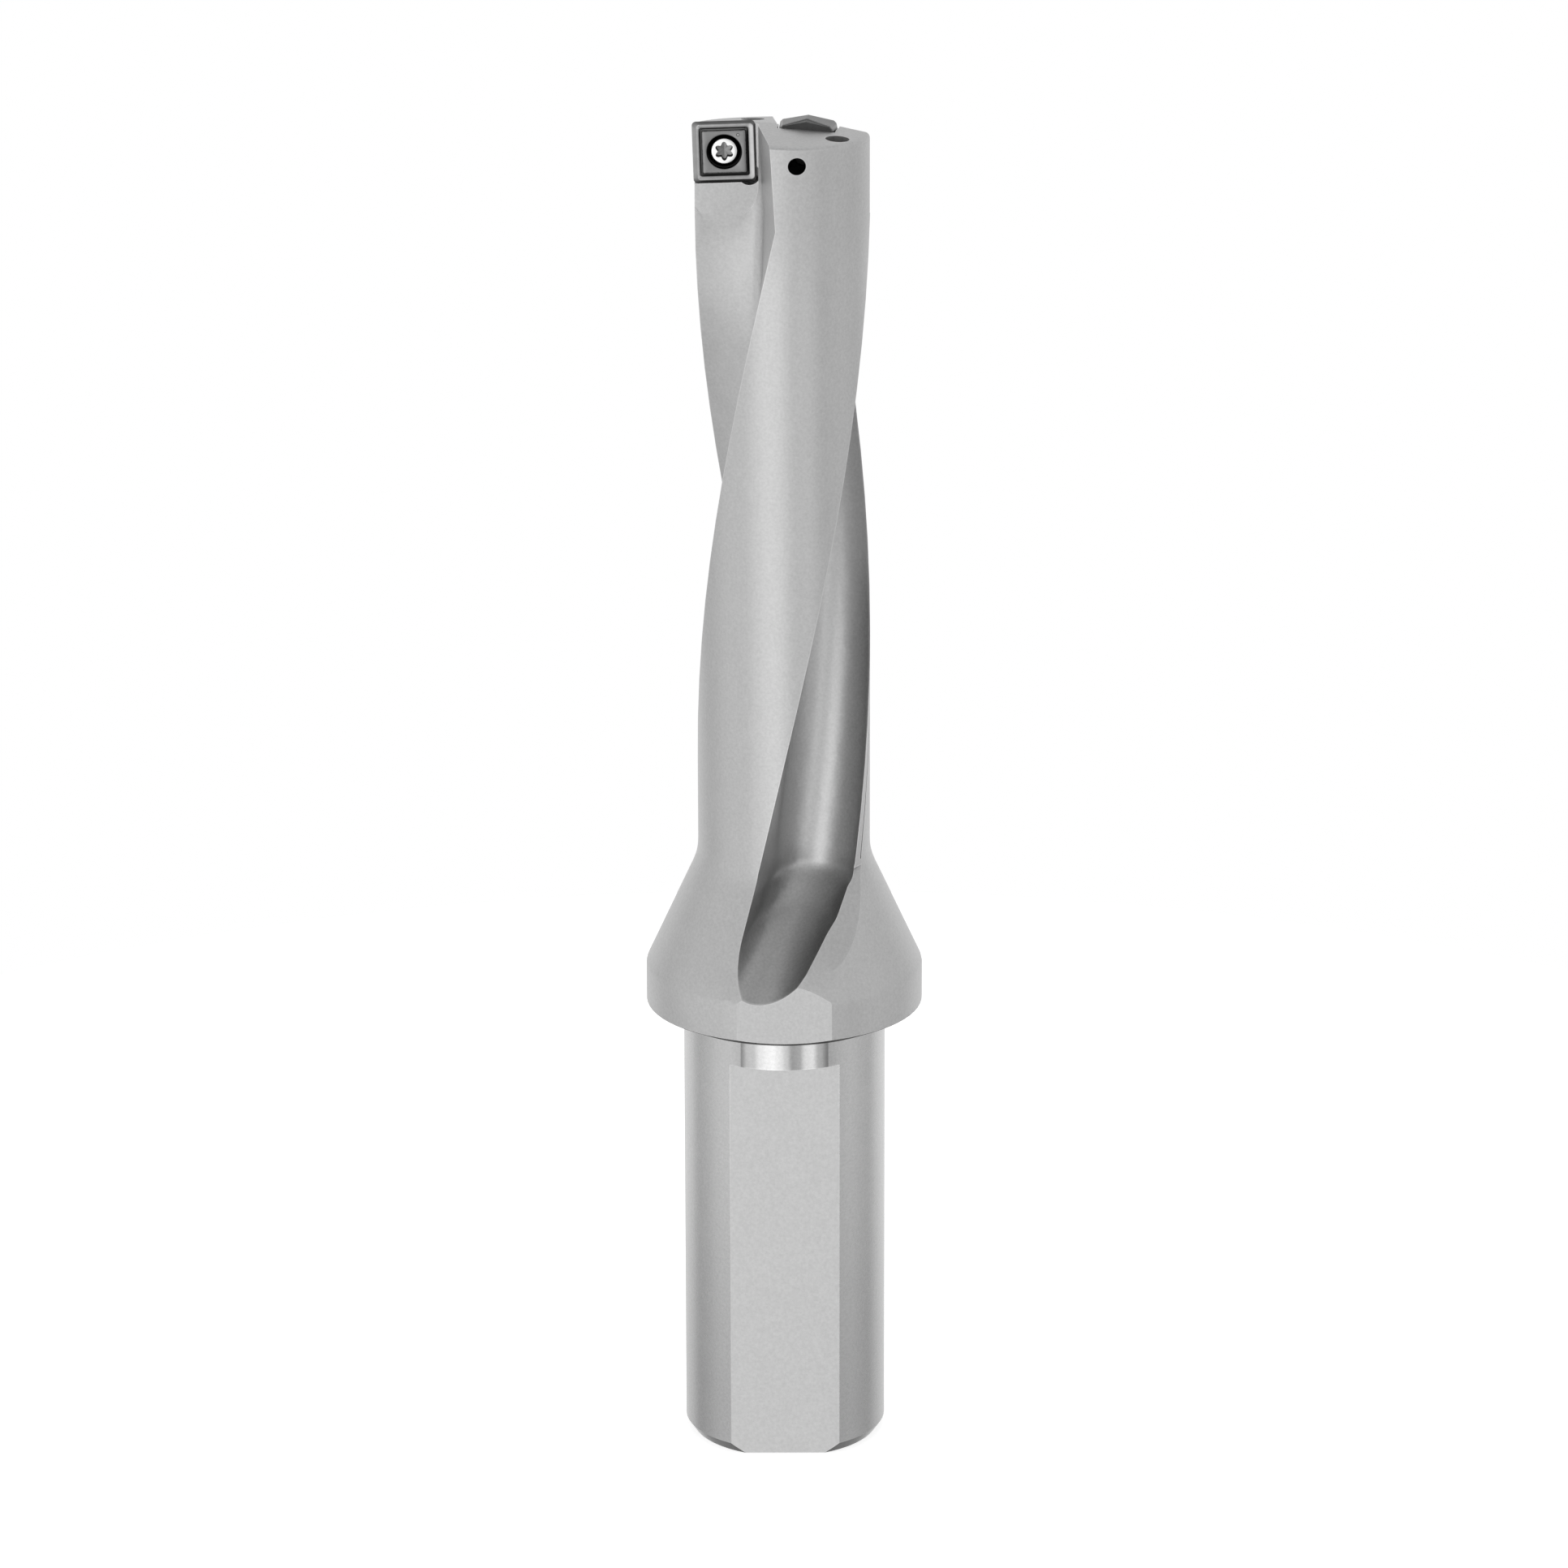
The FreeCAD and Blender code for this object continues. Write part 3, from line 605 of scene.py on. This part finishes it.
# Roof-sided square: each side rises to a peak in its middle, and a small straight cut takes off the tips.
# The distance at an angle is the lesser of the roof line's and the cut's.
def roofSquare(angle, half, rise, corner):
    folded = foldedAngle(angle)
    roof = (half + rise) / (np.cos(folded) + rise / half * np.sin(folded))
    tip = (half * math.sqrt(2) - corner * (math.sqrt(2) - 1)) / np.cos(math.pi / 4 - folded)
    return np.minimum(roof, tip)


# Rings as (distance, height, tone, shift to the right): points and the tone at each of them, the finish's
# grey with painted light and shade
def stackRings(rings, angle):
    distance = np.array([ring[0] for ring in rings])
    points = np.zeros(distance.shape + (3,))
    points[:, :, 0] = distance * np.cos(angle) + np.array([ring[3] for ring in rings])[:, None]
    points[:, :, 1] = distance * np.sin(angle)
    points[:, :, 2] = np.array([ring[1] for ring in rings])[:, None]
    tones = np.array([np.broadcast_to(ring[2], angle.shape) for ring in rings])
    return points, tones


# Rings of the screw seat, from the narrow hole up to the rake face, with a lip rounded by small steps; the
# seat and hole are dark with painted shadow
def seatRings(angle, values):
    circle = np.ones_like(angle)
    dark = values["seatShadowTone"]
    plain = values["plateauTone"]
    return [
        (circle * values["hole"], -values["holeDepth"], dark, 0.0),
        (circle * values["seat"], -values["seatDepth"], dark, 0.0),
        (circle * (values["sink"] - 0.02), -values["sinkDepth"], dark, 0.0),
        (circle * values["sink"], -0.13, dark, 0.0),
        (circle * (values["sink"] + 0.02), -0.05, dark, 0.0),
        (circle * (values["sink"] + 0.07), -0.01, plain, 0.0),
        (circle * (values["sink"] + 0.14), 0.0, plain, 0.0),
    ]


# Rings of an insert's underside, which lead in to the chamfer of its hole, whose ring is dark with painted
# shadow
def undersideRings(angle, values, tone):
    circle = np.ones_like(angle)
    return [
        (circle * (values["hole"] + values["holeChamfer"]), -values["thickness"], tone, 0.0),
        (circle * values["hole"], values["holeChamfer"] - values["thickness"], values["seatShadowTone"], 0.0),
    ]


# Outer insert in millimetres; tones for the sides go right, top, left, bottom. The rim, groove and chamfer
# tones are painted light and shade that differ by side as light falls
outerInsertShape = {
    "half": 3.80,
    "thickness": 3.18,
    "under": 2.83,
    "corner": 0.5,
    "chamfer": 0.36,
    "chamferDepth": 0.16,
    "chamferShift": 0.16,
    "rim": 0.78,
    "groove": 0.26,
    "plateau": 2.60,
    "notch": 0.03,
    "notchWaves": (9.0, 23.0),
    "sink": 2.10,
    "sinkDepth": 0.55,
    "seat": 1.73,
    "seatDepth": 0.8,
    "hole": 1.4,
    "holeDepth": 1.37,
    "holeChamfer": 0.12,
    "paintedRimTones": (0.46, 0.56, 0.54, 0.38),
    "paintedGrooveTones": (0.012, 0.13, 0.08, 0.025),
    "paintedChamferTones": (0.14, 0.17, 0.32, 0.05),
    "sideSharpness": 10,
    "plateauTone": 0.25,
    "seatShadowTone": 0.02,
    "flankTone": 0.20,
    "points": 384,
    "sharpAngle": 33,
}


# One value for each side of a square: each side's weight is a power of the angle's cosine with that side,
# and the weights are made to add up to one
def bySide(angle, tones, power):
    weights = np.array([np.maximum(np.cos(angle - side * math.pi / 2), 0.0) ** power for side in range(4)])
    return (weights * np.array(tones)[:, None]).sum(axis=0) / weights.sum(axis=0)


# Square insert: rings run up the screw seat, over the plateau, through the groove to the rim, down the
# chamfer and the tapered side and back under to the hole, so that the surface closes on itself.
def outerInsertGrid(values):
    angle = ringAngles(values["points"])
    half = values["half"]
    chamfer = half - values["chamfer"]
    rim = half - values["rim"]
    depth = values["groove"]
    plateau = values["plateau"]
    corner = values["corner"]
    shift = values["chamferShift"]
    under = values["under"]
    bottom = -values["thickness"]
    # Painted highlight and shade: rim, groove and chamfer tones differ by side
    bright = bySide(angle, values["paintedRimTones"], values["sideSharpness"])
    groove = bySide(angle, values["paintedGrooveTones"], values["sideSharpness"])
    edge = bySide(angle, values["paintedChamferTones"], values["sideSharpness"])
    plain = values["plateauTone"]
    flank = values["flankTone"]
    waves = np.prod([np.sin(wave * angle) for wave in values["notchWaves"]], axis=0)
    notch = values["notch"] * np.maximum(waves, 0.0)
    square = [
        (plateau - 0.20, 0.16, 0.0, plain, 0.0),
        (plateau - 0.06, 0.18, -0.01, plain, 0.0),
        (plateau, 0.20, -0.05, plain, 0.0),
        (plateau + 0.03, 0.20, 0.04 - depth, groove, 0.0),
        (plateau + 0.07, 0.22, -depth, groove, 0.0),
        (plateau + 0.20, 0.24, -depth, groove, 0.0),
        (rim - 0.04, 0.28, -0.5 * depth, groove, 0.0),
        (rim, 0.30, -0.38 * depth, bright, 0.0),
        (rim + 0.12, 0.34, -0.16 * depth, bright, 0.25 * shift),
        (chamfer - 0.10, 0.42, -0.02, bright, 0.8 * shift),
        (chamfer - 0.03, 0.44, 0.0, bright, shift),
        (chamfer + 0.02, 0.45, -0.02, edge, shift),
        (half - 0.03, corner, -values["chamferDepth"], edge, 0.0),
        (half, corner, -values["chamferDepth"] - 0.04, edge, 0.0),
        (half - 0.03, corner, -values["chamferDepth"] - 0.12, flank, 0.0),
        (under, corner, bottom + 0.06, flank, 0.0),
        (under - 0.06, corner, bottom, flank, 0.0),
    ]
    rings = seatRings(angle, values)
    for width, radius, height, tone, aside in square:
        wobble = notch if width in (plateau, plateau - 0.06) else 0.0
        rings.append((roundedSquare(angle, width, radius) - wobble, height, tone, aside))
    return stackRings(rings + undersideRings(angle, values, flank), angle)


# Inner insert in millimetres; its bright rim is a painted highlight, and its groove, relief and seat tones
# are painted shade
innerInsertShape = {
    "half": 3.35,
    "rise": 0.6635,
    "thickness": 2.4,
    "under": 3.055,
    "corner": 0.35,
    "rim": 0.4,
    "edge": 0.06,
    "groove": 0.22,
    "plateau": 2.15,
    "sink": 1.95,
    "sinkDepth": 0.55,
    "seat": 1.73,
    "seatDepth": 0.8,
    "hole": 1.4,
    "holeDepth": 1.37,
    "holeChamfer": 0.12,
    "reliefStart": 1.36,
    "reliefSlope": 0.29,
    "reliefDepth": 0.10,
    "reliefBlend": 0.12,
    "flankStart": 0.08,
    "flankRings": 24,
    "flankTone": 0.27,
    "reliefShadeTone": 0.085,
    "paintedRimTone": 0.40,
    "grooveShadeTone": 0.10,
    "plateauTone": 0.30,
    "seatShadowTone": 0.02,
    "points": 384,
    "sharpAngle": 20,
}


# Roof-sided insert: the same run of rings, whose outer ones are roof-sided squares.
# On each side a second relief starts as a triangle: it lies deeper by a step below a sloping line, with a
# darker tone of painted shade.
def innerInsertGrid(values):
    angle = ringAngles(values["points"])
    half = values["half"]
    rim = half - values["rim"]
    depth = values["groove"]
    edge = values["edge"]
    plateau = values["plateau"]
    plain = values["plateauTone"]
    groove = values["grooveShadeTone"]
    bright = values["paintedRimTone"]
    rings = seatRings(angle, values)
    for width, radius, height, tone in [
        (plateau - 0.04, 0.16, -0.01, plain),
        (plateau, 0.18, -0.05, plain),
        (plateau + 0.05, 0.20, -depth, groove),
        (plateau + 0.20, 0.24, -depth, groove),
        (rim - 0.10, 0.30, -0.4 * depth, groove),
        (rim, 0.34, 0.0, bright),
    ]:
        rings.append((roundedSquare(angle, width, radius), height, tone, 0.0))
    for width, height in [(half - edge, 0.0), (half - 0.3 * edge, -0.3 * edge), (half, -edge)]:
        rings.append((roofSquare(angle, width, values["rise"], values["corner"]), height, bright, 0.0))
    for share in np.linspace(values["flankStart"], 1.0, values["flankRings"]):
        width = half + (values["under"] - half) * share
        outline = roofSquare(angle, width, values["rise"], values["corner"])
        below = values["thickness"] * share - values["reliefStart"]
        below = below - values["reliefSlope"] * outline * np.sin(foldedAngle(angle))
        relief = np.clip(below / values["reliefBlend"], 0.0, 1.0)
        tone = values["flankTone"] + (values["reliefShadeTone"] - values["flankTone"]) * relief
        rings.append((outline - values["reliefDepth"] * relief, -values["thickness"] * share, tone, 0.0))
    return stackRings(rings + undersideRings(angle, values, values["reliefShadeTone"]), angle)


# Insert screw in millimetres, with its star socket; its bright face is a painted highlight, its dark head
# edge and socket are painted shade, and its shaft is a dark thread in painted shade
screwShape = {
    "head": 1.70,
    "face": 1.52,
    "faceInside": 1.20,
    "top": -0.35,
    "rimHeight": 0.45,
    "coneDepth": 0.78,
    "length": 5.0,
    "thread": 1.25,
    "threadPitch": 0.45,
    "threadDepth": 0.12,
    "tipChamfer": 0.3,
    "lobes": 6,
    "lobe": 1.13,
    "core": 0.76,
    "lobePower": 0.85,
    "lobeTurn": 30.0,
    "socketDepth": 0.7,
    "faceHighlightTone": 0.92,
    "paintedRimTone": 0.10,
    "wallShadeTone": 0.10,
    "floorShadeTone": 0.22,
    "shaftDarkAndShadeTone": 0.05,
    "points": 288,
    "sharpAngle": 35,
}


# Star outline: the distance swings between core and lobe six times round, with broad rounded lobes
def starOutline(angle, values):
    wave = 0.5 + 0.5 * np.cos(values["lobes"] * (angle - math.radians(values["lobeTurn"])))
    return values["core"] + (values["lobe"] - values["core"]) * wave ** values["lobePower"]


# Screw: rings run from the socket's floor up its walls, over the head, down the cone and the threaded shaft
def screwGrid(values):
    angle = ringAngles(values["points"])
    circle = np.ones_like(angle)
    star = starOutline(angle, values)
    top = values["top"]
    floor = top - values["socketDepth"]
    head = values["head"]
    face = values["face"]
    bright = values["faceHighlightTone"]
    edge = values["paintedRimTone"]
    wall = values["wallShadeTone"]
    dull = values["floorShadeTone"]
    shaft = values["shaftDarkAndShadeTone"]
    thread = values["thread"]
    root = thread - values["threadDepth"]
    pitch = values["threadPitch"]
    chamfer = values["tipChamfer"]
    coneEnd = top - values["rimHeight"] - values["coneDepth"]
    rings = [
        (circle * 0.02, floor - 0.14, dull, 0.0),
        (circle * 0.40, floor - 0.07, dull, 0.0),
        (star - 0.07, floor, dull, 0.0),
        (star - 0.03, floor + 0.04, wall, 0.0),
        (star, floor + 0.12, wall, 0.0),
        (star, top - 0.07, wall, 0.0),
        (star + 0.015, top - 0.02, wall, 0.0),
        (star + 0.04, top, bright, 0.0),
        (np.maximum(star + 0.10, values["faceInside"]), top, bright, 0.0),
        (circle * (face - 0.08), top, bright, 0.0),
        (circle * face, top - 0.02, bright, 0.0),
        (circle * (face + 0.04), top - 0.06, edge, 0.0),
        (circle * (head - 0.04), top - 0.16, edge, 0.0),
        (circle * head, top - 0.22, edge, 0.0),
        (circle * head, top - values["rimHeight"], edge, 0.0),
        (circle * thread, coneEnd, shaft, 0.0),
    ]
    tip = top - values["length"]
    for turn in range(int((coneEnd - tip - chamfer) / pitch)):
        crest = coneEnd - pitch * (turn + 0.5)
        rings.append((circle * root, crest + 0.06, shaft, 0.0))
        rings.append((circle * thread, crest - 0.14, shaft, 0.0))
    rings.append((circle * thread, tip + chamfer, shaft, 0.0))
    rings.append((circle * (thread - chamfer), tip, shaft, 0.0))
    return stackRings(rings, angle)


# Tone at each point, the finish's grey with painted light and shade, in the order of the mesh
def addTone(mesh, tones):
    layer = mesh.attributes.new("tone", "FLOAT", "POINT")
    layer.data.foreach_set("value", np.asarray(tones, dtype=np.float32).ravel())


# Mesh of an insert: its rings are taken backwards, so that the faces look outward
def insertMesh(name, shape, place, values):
    points, tones = shape
    mesh = gridMesh(name, putInPlace(points, place)[::-1], True, (), values["sharpAngle"])
    addTone(mesh, tones[::-1])
    return mesh


# Mesh of a screw: the same, with one centre point that closes each end
def screwMesh(name, shape, place, values):
    points, tones = shape
    ends = putInPlace(np.array([[0.0, 0.0, points[0, 0, 2]], [0.0, 0.0, points[-1, 0, 2]]]), place)
    caps = ((0, ends[1]), (len(points) - 1, ends[0]))
    mesh = gridMesh(name, putInPlace(points, place)[::-1], False, caps, values["sharpAngle"])
    addTone(mesh, np.append(tones[::-1].ravel(), [tones[-1, 0], tones[0, 0]]))
    return mesh


outerMesh = insertMesh("outerInsertSurface", outerInsertGrid(outerInsertShape), outerPlace, outerInsertShape)
placePiece("outerInsertSurface", outerMesh, outerMaterial, "outer_insert")
innerMesh = insertMesh("innerInsertSurface", innerInsertGrid(innerInsertShape), innerPlace, innerInsertShape)
placePiece("innerInsertSurface", innerMesh, innerMaterial, "inner_insert")
for screwName, seat in (("outer_insert_screw", outerPlace), ("inner_insert_screw", innerPlace)):
    surface = screwMesh(screwName + "Surface", screwGrid(screwShape), seat, screwShape)
    placePiece(screwName + "Surface", surface, screwMaterial, screwName)
print("inserts and screws made")


# Floor: a pale disc just below the object, which glows for the camera but casts no reflections
floorLook = {"radius": 0.2, "points": 96, "drop": 0.00005, "grey": 0.85, "roughness": 0.8, "glow": 0.62}


# Disc: points at equal angles on one circle
def makeFloor(values):
    angle = np.linspace(0, 2 * math.pi, values["points"], endpoint=False)
    ring = np.stack([np.cos(angle), np.sin(angle), np.zeros_like(angle)], axis=-1) * values["radius"]
    ring[:, 2] = -values["drop"]
    mesh = bpy.data.meshes.new("floor")
    mesh.from_pydata(ring.tolist(), [], [list(range(len(ring)))])
    floor = bpy.data.objects.new("floor", mesh)
    bpy.context.scene.collection.objects.link(floor)
    material, tree, shader = newMaterial("paleFloor")
    shader.inputs["Base Color"].default_value = (values["grey"],) * 3 + (1.0,)
    shader.inputs["Roughness"].default_value = values["roughness"]
    shader.inputs["Specular IOR Level"].default_value = 0.0
    shader.inputs["Emission Color"].default_value = (1.0, 1.0, 1.0, 1.0)
    rays = tree.nodes.new("ShaderNodeLightPath").outputs
    seen = calc(tree, "MAXIMUM", rays["Is Camera Ray"], rays["Is Transmission Ray"])
    feed(tree, shader.inputs["Emission Strength"], product(tree, seen, values["glow"]))
    mesh.materials.append(material)
    floor.visible_glossy = False


# Studio world: brightness by direction round the object, which evens out higher up, times brightness by
# height; straight above it is darker at the front. The camera sees plain white.
worldLook = {
    "around": [(0.0, 1.0), (0.122, 0.92), (0.175, 0.60), (0.211, 0.70), (0.278, 0.90), (0.319, 0.96),
               (0.356, 0.78), (0.4, 0.95), (0.422, 1.38), (0.444, 1.55), (0.464, 1.6), (0.484, 1.38),
               (0.506, 0.98), (0.525, 0.55), (0.547, 0.63), (0.567, 1.15), (0.589, 1.25), (0.611, 0.7),
               (0.633, 0.55), (0.68, 0.72), (0.722, 0.80), (0.78, 0.68), (0.817, 0.60), (0.858, 0.85),
               (0.9, 0.95), (1.0, 1.0)],
    "upward": [(0.0, 0.25), (0.13, 0.4), (0.27, 0.95), (0.36, 1.0), (0.55, 0.88), (0.75, 0.71), (0.9, 0.61),
               (0.95, 0.63), (1.0, 0.80)],
    "evenHeights": (-0.05, 0.45),
    "even": 1.0,
    "overheadHeights": (0.7, 0.93),
    "backward": 0.8,
}


def makeWorld(values):
    world = bpy.data.worlds.new("studio")
    world.use_nodes = True
    bpy.context.scene.world = world
    tree = world.node_tree
    x, y, z = separate(tree, tree.nodes.new("ShaderNodeTexCoord").outputs["Generated"])
    azimuth = calc(tree, "ARCTAN2", x, product(tree, y, -1.0))
    share = calc(tree, "MULTIPLY_ADD", azimuth, 0.5 / math.pi, 0.5)
    overhead = blendBetween(tree, z, values["overheadHeights"], 0.0, values["backward"])
    even = calc(tree, "MULTIPLY_ADD", y, overhead, values["even"])
    around = mix(tree, rises(tree, z, values["evenHeights"]), ramp(tree, share, values["around"]), even)
    upward = ramp(tree, calc(tree, "MULTIPLY_ADD", z, 0.5, 0.5), values["upward"])
    seen = tree.nodes.new("ShaderNodeLightPath").outputs["Is Camera Ray"]
    brightness = mix(tree, seen, product(tree, around, upward), 1.0)
    feed(tree, tree.nodes["Background"].inputs["Color"], greyColour(tree, brightness))


makeFloor(floorLook)
makeWorld(worldLook)
print("floor and light made")

bpy.context.scene.view_settings.view_transform = "Standard"
